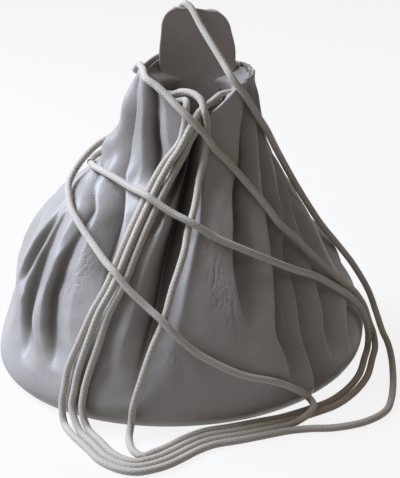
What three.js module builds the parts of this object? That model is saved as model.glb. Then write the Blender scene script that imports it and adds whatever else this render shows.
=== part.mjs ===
// Leather drawstring pouch on a round base, standing with its mouth drawn shut and its two long
// drawcord loops wound round it. Millimetres, +Z up, -Y is the front, the origin is the middle of the
// base's resting face. A bearing is an angle in degrees round the pouch: 0 at the front, 90 at the
// right (+X), 180 at the back.
import * as THREE from 'three';

// Leather body
const FOOT_WIDTH = 192;
const FOOT_DEPTH = 192;
const NECK_WIDTH = 67;
const NECK_DEPTH = 56;
const RIM_WIDTH = 60;
const RIM_DEPTH = 46;
const RIM_HEIGHT = 153;
const NECK_SHIFT = 6;
const BELLY_SHIFT = -7;
const FOOT_TURN_IN = 5;
const SLUMP = 11.5;
const SLUMP_BEARING = -57;
const SLUMP_SPREAD = 42;
const SLUMP_HEIGHT = 22;
const LEATHER = 1.6;
const NECK_FOLD_DEPTH = 6;
const FOLD_WIDTH = 7;

// Notch in the front of the rim, where the cords come out
const NOTCH_DEPTH = 20;
const NOTCH_SHOULDER = 4.5;
const NOTCH_LEFT = -36;
const NOTCH_RIGHT = 40;
const NOTCH_MIDDLE = 2;

// Bearings of the two side seams
const LEFT_SEAM = -96;
const RIGHT_SEAM = 96;
const SEAM_HALF_GAP = 0.3;

// Base, stiffener and lining
const BASE_LEATHER = 2;
const BOARD = 1.5;
const BOARD_INSET = 5;
const LINING = 0.8;
const LINING_DROP = 23;

// Drawcords and the casing that holds them round the neck
const CORD = 3.6;
const CASING = 1;
const CASING_LEFT = -35;
const CASING_RIGHT = 34;
const LOWER_CORD_DROP = 13;

// Pull tab
const TAB_FOOT_WIDTH = 40;
const TAB_TOP_WIDTH = 35;
const TAB_RISE = 26.5;
const TAB_THICKNESS = 2.4;
const TAB_CORNER = 8;
const TAB_SIDEWAYS = 5.2;
const TAB_BACK = 17;

// Clearance that touching pieces keep
const GAP = 0.4;

const radians = THREE.MathUtils.degToRad;
const CORD_RADIUS = CORD / 2;
const NOTCH_HEIGHT = RIM_HEIGHT - NOTCH_DEPTH;
const NOTCH_TOP = RIM_HEIGHT - NOTCH_SHOULDER;
const LINING_TOP = RIM_HEIGHT - LINING_DROP;
const LOWER_CORD_HEIGHT = RIM_HEIGHT - LOWER_CORD_DROP;
const UPPER_CORD_HEIGHT = LOWER_CORD_HEIGHT + CORD + GAP;
const CORD_INSET = NECK_FOLD_DEPTH + LEATHER + GAP + CORD_RADIUS;
const CASING_OUTSIDE = NECK_FOLD_DEPTH + LEATHER + GAP;
const CASING_INSIDE = CORD_INSET + CORD_RADIUS + 2 * GAP;
const BASE_TOP = BASE_LEATHER + GAP;
const BOARD_TOP = BASE_TOP + BOARD + GAP;
const TAB_FOOT = RIM_HEIGHT + GAP + TAB_THICKNESS / 2;
const TAB_TOP = TAB_FOOT + TAB_RISE;

// Side view of the pouch: share of the rim's height, fullness (1 as wide as the foot, 0 as the neck)
// and sideways lean (1 towards the neck's shift, -1 towards the belly's)
const PROFILE = [
  { share: 0, fullness: 1, lean: 0 },
  { share: 0.04, fullness: 1, lean: 0 },
  { share: 0.13, fullness: 1.005, lean: 0 },
  { share: 0.315, fullness: 0.87, lean: -0.7 },
  { share: 0.52, fullness: 0.57, lean: -1 },
  { share: 0.72, fullness: 0.15, lean: 0.4 },
  { share: 0.88, fullness: 0, lean: 0.75 },
  { share: 1, fullness: 0, lean: 1 },
];

function stationAt({ share, fullness, lean }, index) {
  const turnIn = index === 0 ? FOOT_TURN_IN : 0;
  const atRim = index === PROFILE.length - 1;
  const width = atRim ? RIM_WIDTH : NECK_WIDTH + (FOOT_WIDTH - NECK_WIDTH) * fullness;
  const depth = atRim ? RIM_DEPTH : NECK_DEPTH + (FOOT_DEPTH - NECK_DEPTH) * fullness;
  const shift = lean > 0 ? NECK_SHIFT * lean : -BELLY_SHIFT * lean;
  return { height: share * RIM_HEIGHT, values: [width / 2 - turnIn, depth / 2 - turnIn, shift] };
}
const STATIONS = PROFILE.map(stationAt);

// Half width, half depth and sideways shift of the outer envelope at a height, on a smooth curve
function outlineAt(height) {
  const last = STATIONS.length - 2;
  let k = 0;
  while (k < last && STATIONS[k + 1].height <= height) k += 1;
  const slope = (i, n) =>
    (STATIONS[i + 1].values[n] - STATIONS[i].values[n]) / (STATIONS[i + 1].height - STATIONS[i].height);
  const tangent = (i, n) => {
    if (i === 0) return slope(0, n);
    if (i === STATIONS.length - 1) return slope(i - 1, n);
    return (slope(i - 1, n) + slope(i, n)) / 2;
  };
  const span = STATIONS[k + 1].height - STATIONS[k].height;
  const t = THREE.MathUtils.clamp((height - STATIONS[k].height) / span, 0, 1);
  return [0, 1, 2].map((n) => {
    const start = (2 * t ** 3 - 3 * t ** 2 + 1) * STATIONS[k].values[n];
    const end = (3 * t ** 2 - 2 * t ** 3) * STATIONS[k + 1].values[n];
    const leaving = (t ** 3 - 2 * t ** 2 + t) * span * tangent(k, n);
    const arriving = (t ** 3 - t ** 2) * span * tangent(k + 1, n);
    return start + end + leaving + arriving;
  });
}

// How far the leather slumps outwards at the foot, most at one bearing
function slumpAt(bearing, height) {
  const apart = THREE.MathUtils.euclideanModulo(bearing - SLUMP_BEARING + 180, 360) - 180;
  return SLUMP * Math.exp(-((apart / SLUMP_SPREAD) ** 2) - (height / SLUMP_HEIGHT) ** 2);
}

// Point inside the envelope by a level distance
function inset(bearing, height, distance) {
  const [halfWidth, halfDepth, shift] = outlineAt(height);
  const inward = distance - slumpAt(bearing, height);
  const turn = radians(bearing);
  const x = shift + (halfWidth - inward) * Math.sin(turn);
  return new THREE.Vector3(x, -(halfDepth - inward) * Math.cos(turn), height);
}

// Point off the envelope along its normal
function off(bearing, height, distance) {
  const step = 0.5;
  const here = inset(bearing, height, 0);
  const across = inset(bearing + step, height, 0).sub(inset(bearing - step, height, 0));
  const upward = inset(bearing, height + step, 0).sub(inset(bearing, height - step, 0));
  return here.addScaledVector(across.cross(upward).normalize(), distance);
}

// Height of the rim: level round the back, lower at the front, with a V notch in the middle
const SIDE_RIM = 75;
function rimAt(bearing) {
  const angle = THREE.MathUtils.euclideanModulo(bearing + 180, 360) - 180;
  const edge = angle < NOTCH_MIDDLE ? NOTCH_LEFT : NOTCH_RIGHT;
  const side = edge < 0 ? -SIDE_RIM : SIDE_RIM;
  const climb = THREE.MathUtils.clamp((angle - NOTCH_MIDDLE) / (edge - NOTCH_MIDDLE), 0, 1);
  const shoulder = THREE.MathUtils.clamp((angle - edge) / (side - edge), 0, 1);
  return NOTCH_HEIGHT + (NOTCH_TOP - NOTCH_HEIGHT) * climb + (RIM_HEIGHT - NOTCH_TOP) * shoulder;
}

// Folds of the gathered leather: bearing at the neck, bearing at the foot and share of the full depth
const FOLDS = [
  [-76, -46, 1], [-52, -32, 0.9], [-30, -24, 0.7], [2, -10, 1.1], [26, 16, 0.4], [46, 30, 1],
  [64, 44, 0.9], [82, 62, 0.9], [104, 92, 0.8], [126, 122, 1], [148, 148, 0.9], [172, 173, 1],
  [-164, -163, 0.9], [-142, -138, 1], [-121, -112, 0.9], [-99, -80, 0.9],
];
const FOLD_START = 0.06;
const FOLD_FULL = 0.75;

function foldDepth(height) {
  return NECK_FOLD_DEPTH * THREE.MathUtils.smoothstep(height / RIM_HEIGHT, FOLD_START, FOLD_FULL);
}

function foldAt(bearing, height) {
  const fall = 1 - THREE.MathUtils.smoothstep(height / RIM_HEIGHT, 0, 1);
  let depth = 0;
  for (const [neck, foot, share] of FOLDS) {
    const middle = neck + (foot - neck) * fall;
    const apart = THREE.MathUtils.euclideanModulo(bearing - middle + 180, 360) - 180;
    depth = Math.max(depth, share * Math.exp(-((apart / FOLD_WIDTH) ** 2)));
  }
  return Math.min(depth, 1) * foldDepth(height);
}

// Closed solid between an outer and an inner grid of points, rows upward and columns round the pouch
function shellBetween(outer, inner, closed) {
  const corners = [];
  const quad = (a, b, c, d) => corners.push(a, b, c, a, c, d);
  const rows = outer.length - 1;
  const columns = outer[0].length - 1;
  for (let j = 0; j < rows; j += 1) {
    for (let i = 0; i < columns; i += 1) {
      quad(outer[j][i], outer[j][i + 1], outer[j + 1][i + 1], outer[j + 1][i]);
      quad(inner[j][i], inner[j + 1][i], inner[j + 1][i + 1], inner[j][i + 1]);
    }
  }
  for (let i = 0; i < columns; i += 1) {
    quad(outer[0][i + 1], outer[0][i], inner[0][i], inner[0][i + 1]);
    quad(outer[rows][i], outer[rows][i + 1], inner[rows][i + 1], inner[rows][i]);
  }
  for (let j = 0; j < rows && !closed; j += 1) {
    quad(outer[j][0], outer[j + 1][0], inner[j + 1][0], inner[j][0]);
    quad(outer[j + 1][columns], outer[j][columns], inner[j][columns], inner[j + 1][columns]);
  }
  const geometry = new THREE.BufferGeometry().setFromPoints(corners);
  geometry.computeVertexNormals();
  return geometry;
}

// Gathered leather panel between two bearings
const PANEL_ROWS = [0, 0.016, 0.04, 0.1, 0.2, 0.32, 0.44, 0.56, 0.66, 0.75, 0.84, 0.92, 1];
const PANEL_FIXED = 0.65;
const PANEL_STEP = 3.6;

function panelHeight(share, bearing) {
  if (share <= PANEL_FIXED) return share * RIM_HEIGHT;
  const low = PANEL_FIXED * RIM_HEIGHT;
  return low + ((share - PANEL_FIXED) / (1 - PANEL_FIXED)) * (rimAt(bearing) - low);
}

function panel(from, to) {
  const count = Math.round((to - from) / PANEL_STEP);
  const bearings = Array.from({ length: count + 1 }, (_, i) => from + ((to - from) * i) / count);
  const skin = (bearing, height) => inset(bearing, height, foldAt(bearing, height));
  const outer = PANEL_ROWS.map((share) => bearings.map((b) => skin(b, panelHeight(share, b))));
  const inner = PANEL_ROWS.map((share) => bearings.map((b) => {
    const height = panelHeight(share, b);
    if (b === from || b === to) return inset(b, height, foldAt(b, height) + LEATHER);
    const along = skin(b + 1, height).sub(skin(b - 1, height)).normalize();
    return skin(b, height).add(new THREE.Vector3(-along.y, along.x, 0).multiplyScalar(LEATHER));
  }));
  return shellBetween(outer, inner, false);
}

// Flat plate inside the foot's outline by a distance, with its underside at a height
const PLATE_SIDES = 60;
function footPlate(distance, bottom, thickness) {
  const corner = (_, i) => {
    const { x, y } = inset((360 * i) / PLATE_SIDES, 0, distance);
    return new THREE.Vector2(x, y);
  };
  const outline = new THREE.Shape(Array.from({ length: PLATE_SIDES }, corner));
  const plate = new THREE.ExtrudeGeometry(outline, { depth: thickness, bevelEnabled: false });
  return plate.translate(0, 0, bottom);
}

// Lining wall: a smooth fabric tube just inside the folds
function liningWall() {
  const bottom = BOARD_TOP + GAP;
  const shares = [0, 0.1, 0.2, 0.35, 0.5, 0.65, 0.8, 0.9, 1];
  const ring = (height, extra) => {
    const distance = foldDepth(height) + LEATHER + 2 * GAP + extra;
    return Array.from({ length: 41 }, (_, i) => inset((i % 40) * 9, height, distance));
  };
  const heights = shares.map((share) => bottom + (LINING_TOP - bottom) * share);
  return shellBetween(heights.map((h) => ring(h, 0)), heights.map((h) => ring(h, LINING)), true);
}

// Casing: a channel open outwards, from one side of the notch round the back to the other
function casing() {
  const low = LOWER_CORD_HEIGHT - CORD_RADIUS - GAP;
  const high = UPPER_CORD_HEIGHT + CORD_RADIUS + GAP;
  const section = [
    [CASING_OUTSIDE, low - CASING], [CASING_OUTSIDE, low], [CASING_INSIDE, low], [CASING_INSIDE, high],
    [CASING_OUTSIDE, high], [CASING_OUTSIDE, high + CASING], [CASING_INSIDE + CASING, high + CASING],
    [CASING_INSIDE + CASING, low - CASING],
  ];
  const steps = 40;
  const rings = Array.from({ length: steps + 1 }, (_, i) => {
    const bearing = CASING_RIGHT + ((360 + CASING_LEFT - CASING_RIGHT) * i) / steps;
    return section.map(([distance, height]) => inset(bearing, height, distance));
  });
  const corners = [];
  for (let i = 0; i < steps; i += 1) {
    for (let k = 0; k < section.length; k += 1) {
      const n = (k + 1) % section.length;
      corners.push(rings[i][k], rings[i + 1][k], rings[i + 1][n], rings[i][k], rings[i + 1][n], rings[i][n]);
    }
  }
  const flat = section.map(([distance, height]) => new THREE.Vector2(-distance, height));
  for (const [a, b, c] of THREE.ShapeUtils.triangulateShape(flat, [])) {
    corners.push(rings[0][a], rings[0][b], rings[0][c], rings[steps][a], rings[steps][c], rings[steps][b]);
  }
  const geometry = new THREE.BufferGeometry().setFromPoints(corners);
  geometry.computeVertexNormals();
  return geometry;
}

// Pull tab: a tapered tongue with round top corners and a rounded edge all round
function pullTab() {
  const edge = 1;
  const foot = TAB_FOOT_WIDTH / 2 - edge;
  const top = TAB_TOP_WIDTH / 2 - edge;
  const rise = TAB_RISE - edge;
  const outline = new THREE.Shape();
  outline.moveTo(-foot, 0);
  outline.lineTo(foot, 0);
  outline.lineTo(top, rise - TAB_CORNER);
  outline.quadraticCurveTo(top, rise, top - TAB_CORNER, rise);
  outline.lineTo(TAB_CORNER - top, rise);
  outline.quadraticCurveTo(-top, rise, -top, rise - TAB_CORNER);
  outline.closePath();
  const tab = new THREE.ExtrudeGeometry(outline, {
    depth: TAB_THICKNESS - 2 * edge, bevelThickness: edge, bevelSize: edge, bevelSegments: 2, curveSegments: 6,
  });
  return tab.translate(0, 0, edge - TAB_THICKNESS / 2).rotateX(Math.PI / 2);
}

// Routes of the two cords. A point lies on the leather, lifted where it passes over other strands,
// on the table, or is a plain point in space.
const FLOOR_HEIGHT = CORD_RADIUS + 0.15;
const OVER = CORD + GAP;
const on = (bearing, height, lift = 0) => off(bearing, height, CORD_RADIUS + GAP + lift);
const floor = (x, y, lift = 0) => new THREE.Vector3(x, y, FLOOR_HEIGHT + lift);
const point = (x, y, z) => new THREE.Vector3(x, y, z);
const OVER_TAB = TAB_TOP + CORD_RADIUS + GAP;
const OVER_RIM = RIM_HEIGHT + CORD_RADIUS + GAP;
const BEHIND_TAB = TAB_BACK + TAB_THICKNESS / 2 + CORD_RADIUS + GAP;

// Cord A: out of the left mouth, down the outside of the bundle, along the table to the right, up the
// right side, over the pull tab, round behind it, and back down across the front to the right mouth
const CORD_A_ROUTE = [
  inset(CASING_LEFT, LOWER_CORD_HEIGHT, CORD_INSET), point(-3.5, -17.5, 142), point(-0.5, -22, 143.4),
  on(-8.5, 140.2, 0.7), on(-8.5, 135.5), on(-9, 131), on(-10.8, 125), on(-15.2, 120), on(-19.5, 115),
  on(-22.3, 106), on(-21.1, 96), on(-20.1, 87), on(-20.5, 77), on(-21.2, 72), on(-23.2, 64), on(-26.9, 54),
  on(-30.9, 40), on(-35, 25), on(-35.2, 17), on(-34.8, 9.5, 0.8),
  floor(-59.4, -93.5, 0.6), floor(-55.2, -101.5), floor(-47, -113), floor(-38.9, -124.2), floor(-29, -130.8),
  floor(-21.7, -132.2), floor(-14.8, -130.3), floor(-8, -126.9), floor(-1.5, -121.8), floor(5.3, -115.8),
  floor(13, -110.8), floor(25.7, -107), floor(38, -102.9), floor(50, -99), floor(60.4, -97.3), floor(70.7, -96.7),
  floor(81.2, -94), floor(88, -91), floor(95.1, -85.9), floor(99.8, -80.3), floor(103, -72), floor(106, -59.6),
  floor(108.5, -44), floor(110.2, -28), floor(110.5, -14, 0.5), point(109, -3, 4.2), point(106.3, 8, 11.5),
  point(102.2, 11.5, 22), on(95.5, 37, 2), on(91.5, 53.5, 0.4), on(88, 68), on(88.5, 79), on(88, 91), on(86.5, 104.5),
  on(80, 114.5), on(72, 124), on(60, 133.5), on(47, 144), point(22.4, -17, 153.8), point(17.6, -9.5, 160.2),
  point(12.5, -2, 167), point(7.3, 6, 174), point(2.2, 13.4, OVER_TAB - 1.6),
  point(-1, TAB_BACK, OVER_TAB + 0.3), point(-2.6, BEHIND_TAB + 0.4, OVER_TAB - 1.2),
  point(-3.8, BEHIND_TAB + 0.2, TAB_TOP - 5), point(-6, BEHIND_TAB + 0.4, OVER_RIM + 12),
  point(-9.4, BEHIND_TAB + 1, OVER_RIM + 4), on(222, 151.5), on(236, 149.5), on(250, 150), on(260, 151.6, 0.6),
  point(-24.6, 2.4, OVER_RIM + 0.2), point(-22, -6.6, OVER_RIM), on(-50, 152.6, 2), on(-36, 149.8, 2.2), on(-24, 146, 3.4),
  on(-14, 141.4, 5.8), on(-7, 137.6, 7.2), on(-2, 134.4, 7.4), on(3, 131.4, 6.8), on(8.5, 127.2, 4.8), on(14.5, 121.5, 2),
  on(22.5, 116.2, 0.4), on(35, 105.5), on(46, 93.5), on(51.5, 83.8), on(57, 76.2), on(61, 67.2), on(66, 56),
  on(71.5, 46), on(77, 37), on(81.5, 25), on(83.2, 14, 1.2), point(103.2, -8, 5.4),
  floor(103, -17.5, 0.5), floor(99.7, -30), floor(93.9, -49.5), floor(84.9, -65.2), floor(75, -76.2), floor(66.4, -81.9),
  floor(48.1, -91.3), floor(35.6, -95.5), floor(23.4, -99.6), floor(9.9, -103.6), floor(0.6, -109.6), floor(-6.5, -115.8),
  floor(-12.2, -120.3), floor(-17.6, -123.1), floor(-22, -124.5), floor(-26, -123.7), floor(-33.4, -118.7),
  floor(-40.7, -108.5, 0.3), floor(-47.6, -98.4, 0.9), on(-28.6, 9.5, 1),
  on(-29, 17), on(-28, 25.5), on(-24.3, 40.5), on(-21.1, 54.5), on(-17.4, 64.5), on(-15.2, 72), on(-14.3, 77),
  on(-13.3, 87), on(-13.3, 96), on(-12.5, 106), on(-9.2, 115), on(-6.3, 120), on(-3.8, 125), on(-1, 128.6),
  on(1.6, 132, 0.5), point(5.6, -22.6, 136.6), point(9.3, -18.2, 138.2), inset(CASING_RIGHT, LOWER_CORD_HEIGHT, CORD_INSET),
];
const CORD_A_BIGHT = [63, 74];

// Cord B: out of the left mouth in a high arc, down the front, along the foot to the right, up across the
// front to the left, round the left shoulder, down across the front again and back to the right mouth
const CORD_B_ROUTE = [
  inset(CASING_LEFT, UPPER_CORD_HEIGHT, CORD_INSET), point(-2.4, -16.4, 146.4), point(2.8, -20.6, 146.8),
  point(7, -26, 145), point(9, -30.8, 140.4), on(8.8, 134.8, 1.6), on(9.3, 130, 0.3),
  on(9.3, 126.5), on(7.5, 118), on(5.5, 108), on(6, 97), on(5.2, 87.5), on(5, 81.5), on(3, 74), on(0.5, 66.5), on(-3.5, 53),
  on(-7.5, 42), on(-11.5, 29), on(-14.5, 15), on(-15, 7, 1.2),
  floor(-27.2, -104.5, 0.4), floor(-26.4, -111), floor(-24, -116.8), floor(-20, -119.9), floor(-14.8, -116.8),
  floor(-9, -112.8), floor(-1.7, -106.4), floor(8.3, -100), floor(22.2, -95.8), floor(34.4, -91.7),
  floor(47, -87.5), floor(63.6, -78.6), floor(71.8, -73.2), floor(81.2, -62.8), floor(89.9, -47.7), floor(95.7, -29, 0.2),
  floor(98.6, -19, 0.8), on(78.5, 12, 0.8), on(77.2, 22.5), on(73, 35), on(66, 46), on(57, 57.5), on(48.5, 64.5), on(40.5, 71),
  on(29, 79), on(17, 85.2, 0.8), on(6.5, 90, OVER), on(-3, 93.5, OVER), on(-12.5, 96.7, OVER + 1.2),
  on(-17, 98.2, OVER + 1.8), on(-22, 99.7, OVER + 0.6), on(-32, 101.8, 1.6), on(-49.5, 104),
  on(-65.5, 104), on(-82, 102.4), on(-98, 100.4), on(-112, 99.5), on(-124, 101), on(-130, 106), on(-127, 111.5),
  on(-117, 114), on(-105, 112, 1.5), on(-96, 106.5, OVER + 0.4), on(-88, 99, OVER), on(-79, 93.2, 1.6), on(-68, 90.6),
  on(-57.5, 88.2), on(-46, 85.2), on(-36, 81.4), on(-28.5, 77.4, 2), on(-23, 73.6, OVER), on(-18.6, 70.4, OVER + 1.6),
  on(-13.8, 65, OVER + 0.6), on(-8, 59, OVER - 0.6), on(-3.3, 53.4, OVER), on(1, 46.5, 2.4), on(5.5, 40, 0.4), on(10, 35),
  on(17, 28.2), on(26, 22.2), on(31.5, 16.6, 0.8), point(60.4, -80.6, 9), point(62.4, -85.6, 7.4), point(59, -90.4, 5.4),
  floor(51.5, -94.4, 1), floor(44, -96.8, 0.1), floor(36.8, -99.2), floor(24.5, -103.3), floor(11.4, -107.2), floor(3, -112.7),
  floor(-4, -118.8), floor(-10.1, -123.6), floor(-16.2, -126.8), floor(-21.9, -128.3), floor(-27.4, -127.4),
  floor(-36.2, -121.4), floor(-43.8, -110.8, 0.1), floor(-51.4, -99.8, 0.6),
  on(-31.7, 9.5, 0.9), on(-32, 17), on(-31.5, 25), on(-27.8, 40, 0.8), on(-24.2, 54, 1.4), on(-20.5, 64, 1.4),
  on(-18.3, 72, 1.4), on(-17.4, 77, 1.4), on(-16.7, 87, 1.4), on(-17.2, 96, 1.4), on(-17.4, 106, 1.6), on(-14.4, 115, 2.2),
  on(-10.7, 120, 3), on(-7.2, 125.5, 3.5), on(-4.6, 130, 3.5), on(-2, 133.8, 3.4), point(5.6, -27.8, 138.8),
  point(9.2, -23.4, 140.6), point(13.4, -18.8, 142.8), inset(CASING_RIGHT, UPPER_CORD_HEIGHT, CORD_INSET),
];
const CORD_B_BIGHT = [55, 65];

// Stretch of a longer curve, between two shares of its length
class Stretch extends THREE.Curve {
  constructor(whole, from, to) {
    super();
    Object.assign(this, { whole, from, to });
  }

  getPoint(t, target) {
    return this.whole.getPointAt(this.from + (this.to - this.from) * t, target);
  }
}

const CORD_SIDES = 8;
const CORD_STEP = 2.5 * CORD;
const MOUTH_GAP = 1.4;

function tube(curve, step) {
  const corner = (_, k) => {
    const turn = (2 * Math.PI * (k + 0.5)) / CORD_SIDES;
    return new THREE.Vector2(CORD_RADIUS * Math.cos(turn), CORD_RADIUS * Math.sin(turn));
  };
  const section = new THREE.Shape(Array.from({ length: CORD_SIDES }, corner));
  const steps = Math.max(4, Math.round(curve.getLength() / step));
  return new THREE.ExtrudeGeometry(section, { steps, extrudePath: curve, bevelEnabled: false });
}

// The three stretches of a cord's loop, cut at both ends of the bight that goes round behind
function loopStretches(route, bight) {
  const whole = new THREE.CatmullRomCurve3(route, false, 'centripetal');
  whole.arcLengthDivisions = 40 * route.length;
  const lengths = whole.getLengths();
  const total = lengths[lengths.length - 1];
  const cuts = bight.map((index) => lengths[40 * Math.round((index * route.length) / (route.length - 1))] / total);
  const half = GAP / 2 / total;
  const mouth = MOUTH_GAP / total;
  return [
    new Stretch(whole, mouth, cuts[0] - half),
    new Stretch(whole, cuts[0] + half, cuts[1] - half),
    new Stretch(whole, cuts[1] + half, 1 - mouth),
  ];
}

// The stretch of a cord inside the casing
function neckRun(height) {
  const steps = 24;
  const ring = Array.from({ length: steps + 1 }, (_, i) => {
    const bearing = CASING_RIGHT + ((360 + CASING_LEFT - CASING_RIGHT) * i) / steps;
    return inset(bearing, height, CORD_INSET);
  });
  const whole = new THREE.CatmullRomCurve3(ring, false, 'centripetal');
  const half = GAP / 2 / whole.getLength();
  return new Stretch(whole, half, 1 - half);
}

const leather = new THREE.MeshStandardMaterial({ color: 0x8d8884, roughness: 0.42, metalness: 0.15 });
const tabLeather = new THREE.MeshStandardMaterial({ color: 0x6a645f, roughness: 0.6, metalness: 0.05 });
const board = new THREE.MeshStandardMaterial({ color: 0x8a7a64, roughness: 0.9, metalness: 0 });
const liningCloth = new THREE.MeshStandardMaterial({ color: 0x5a5350, roughness: 0.95, metalness: 0 });
const braid = new THREE.MeshStandardMaterial({ color: 0xaaa194, roughness: 0.8, metalness: 0 });

const pouch = new THREE.Group();

function place(name, geometry, material, parent = pouch) {
  const mesh = new THREE.Mesh(geometry, material);
  mesh.name = name;
  parent.add(mesh);
}

place('front_panel', panel(LEFT_SEAM + SEAM_HALF_GAP, RIGHT_SEAM - SEAM_HALF_GAP), leather);
place('back_panel', panel(RIGHT_SEAM + SEAM_HALF_GAP, 360 + LEFT_SEAM - SEAM_HALF_GAP), leather);
place('base_panel', footPlate(LEATHER + GAP, 0, BASE_LEATHER), leather);
place('base_board', footPlate(BOARD_INSET, BASE_TOP, BOARD), board);
place('lining_base', footPlate(BOARD_INSET + GAP, BOARD_TOP, LINING), liningCloth);
place('lining_wall', liningWall(), liningCloth);
place('neck_casing', casing(), leather);

const tabHolder = new THREE.Group();
tabHolder.position.set(TAB_SIDEWAYS, TAB_BACK, TAB_FOOT);
place('pull_tab', pullTab(), tabLeather, tabHolder);
pouch.add(tabHolder);

const LOOP_NODES = ['left_strand', 'bight', 'right_strand'];
for (const [cord, route, bight, height] of [
  ['cord_a', CORD_A_ROUTE, CORD_A_BIGHT, LOWER_CORD_HEIGHT],
  ['cord_b', CORD_B_ROUTE, CORD_B_BIGHT, UPPER_CORD_HEIGHT],
]) {
  place(`${cord}_neck_run`, tube(neckRun(height), CORD_STEP / 2), braid);
  loopStretches(route, bight).forEach((curve, k) => place(`${cord}_${LOOP_NODES[k]}`, tube(curve, k === 1 ? CORD_STEP / 2 : CORD_STEP), braid));
}

export default pouch;
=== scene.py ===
"""Leather drawstring pouch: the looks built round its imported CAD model.

Lengths in the shape functions are millimetres and turn to metres where a mesh is made. A bearing is an
angle in degrees round the pouch: 0 at the front, 90 at the right, 180 at the back.
"""

import math
from collections import namedtuple

import bmesh
import bpy
import numpy as np
from bpy.props import FloatProperty, FloatVectorProperty, PointerProperty
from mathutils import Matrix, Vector


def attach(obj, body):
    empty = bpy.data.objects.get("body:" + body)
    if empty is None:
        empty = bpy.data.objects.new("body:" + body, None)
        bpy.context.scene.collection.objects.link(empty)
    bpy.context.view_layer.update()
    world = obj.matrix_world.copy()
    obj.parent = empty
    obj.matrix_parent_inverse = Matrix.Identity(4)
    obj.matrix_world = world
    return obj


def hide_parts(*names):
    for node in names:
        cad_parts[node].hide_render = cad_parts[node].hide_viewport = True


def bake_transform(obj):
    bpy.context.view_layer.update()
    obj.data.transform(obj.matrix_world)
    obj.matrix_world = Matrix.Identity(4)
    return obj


bl_info = {
    "name": "Drawstring Pouch",
    "version": (1, 0, 0),
    "blender": (4, 5, 0),
    "location": "View3D > Sidebar > Pouch",
    "description": "Builds the gathered leather, neck, pull tab and braided cords of a drawstring pouch",
    "category": "Object",
}

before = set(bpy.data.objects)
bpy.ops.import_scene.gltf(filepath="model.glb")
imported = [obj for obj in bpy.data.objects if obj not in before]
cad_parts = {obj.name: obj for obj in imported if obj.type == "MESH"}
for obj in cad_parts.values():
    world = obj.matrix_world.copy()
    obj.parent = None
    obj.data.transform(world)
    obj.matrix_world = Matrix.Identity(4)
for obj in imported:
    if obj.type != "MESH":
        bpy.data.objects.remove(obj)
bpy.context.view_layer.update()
MM = 0.001
MERGE_DISTANCE = 1e-7

# Leather body, as in the CAD model
FOOT_WIDTH = 192
FOOT_DEPTH = 192
NECK_WIDTH = 67
NECK_DEPTH = 56
RIM_WIDTH = 60
RIM_DEPTH = 46
RIM_HEIGHT = 153
NECK_SHIFT = 6
BELLY_SHIFT = -7
FOOT_TURN_IN = 5
SLUMP = 11.5
SLUMP_BEARING = -57
SLUMP_SPREAD = 42
SLUMP_HEIGHT = 22
LEFT_SEAM = -96
RIGHT_SEAM = 96
NOTCH_HEIGHT = 133
NOTCH_TOP = 148.5
NOTCH_LEFT = -36
NOTCH_RIGHT = 40
NOTCH_MIDDLE = 2
SIDE_RIM = 75

# Swell of the rim at the back left
RIM_SWELL = 4.4
RIM_SWELL_BEARING = -142
RIM_SWELL_SPREAD = 26

# Neck, tab and cords, as in the CAD model
GAP = 0.4
CORD = 3.6
CORD_RADIUS = CORD / 2
CASING_LEFT = -35
CASING_RIGHT = 34
CORD_INSET = 9.8
LOWER_CORD_HEIGHT = 140
UPPER_CORD_HEIGHT = 144
TAB_TOP = 181.1
TAB_BACK = 17
TAB_SIDEWAYS = 5.2

# Side view of the pouch: share of the rim's height, fullness (1 as wide as the foot, 0 as the neck)
# and sideways lean (1 towards the neck's shift, -1 towards the belly's)
PROFILE = (
    (0, 1, 0),
    (0.04, 1, 0),
    (0.13, 1.005, 0),
    (0.315, 0.87, -0.7),
    (0.52, 0.57, -1),
    (0.72, 0.15, 0.4),
    (0.88, 0, 0.75),
    (1, 0, 1),
)


def ease(xs, ys, x):
    """Smooth curve through points, with the slope at a point the mean of its neighbours' slopes."""
    xs = np.asarray(xs, float)
    ys = np.asarray(ys, float)
    x = np.clip(x, xs[0], xs[-1])
    slopes = np.diff(ys) / np.diff(xs)
    tangents = np.concatenate(([slopes[0]], (slopes[:-1] + slopes[1:]) / 2, [slopes[-1]]))
    k = np.clip(np.searchsorted(xs, x, side="right") - 1, 0, len(xs) - 2)
    span = xs[k + 1] - xs[k]
    t = (x - xs[k]) / span
    start = (2 * t**3 - 3 * t**2 + 1) * ys[k] + (t**3 - 2 * t**2 + t) * span * tangents[k]
    end = (3 * t**2 - 2 * t**3) * ys[k + 1] + (t**3 - t**2) * span * tangents[k + 1]
    return start + end


def smoothstep(value, low, high):
    """0 up to low, 1 from high on, and an eased climb between them."""
    t = np.clip((value - low) / (high - low), 0, 1)
    return t * t * (3 - 2 * t)


def wrapped(angle):
    """The same angle between -180 and 180 degrees."""
    return (angle + 180) % 360 - 180


def stations():
    """Height, half width, half depth and sideways shift of the outline at each row of the profile."""
    rows = []
    for index, (share, fullness, lean) in enumerate(PROFILE):
        turn_in = FOOT_TURN_IN if index == 0 else 0
        width = NECK_WIDTH + (FOOT_WIDTH - NECK_WIDTH) * fullness
        depth = NECK_DEPTH + (FOOT_DEPTH - NECK_DEPTH) * fullness
        if share == 1:
            width = RIM_WIDTH
            depth = RIM_DEPTH
        shift = NECK_SHIFT * lean if lean > 0 else -BELLY_SHIFT * lean
        rows.append((share * RIM_HEIGHT, width / 2 - turn_in, depth / 2 - turn_in, shift))
    return np.array(rows, float).T


STATIONS = stations()


def degree_length(height):
    """Millimetres round the pouch in one degree of bearing."""
    return np.radians(1) * ease(STATIONS[0], STATIONS[1], height)


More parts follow.
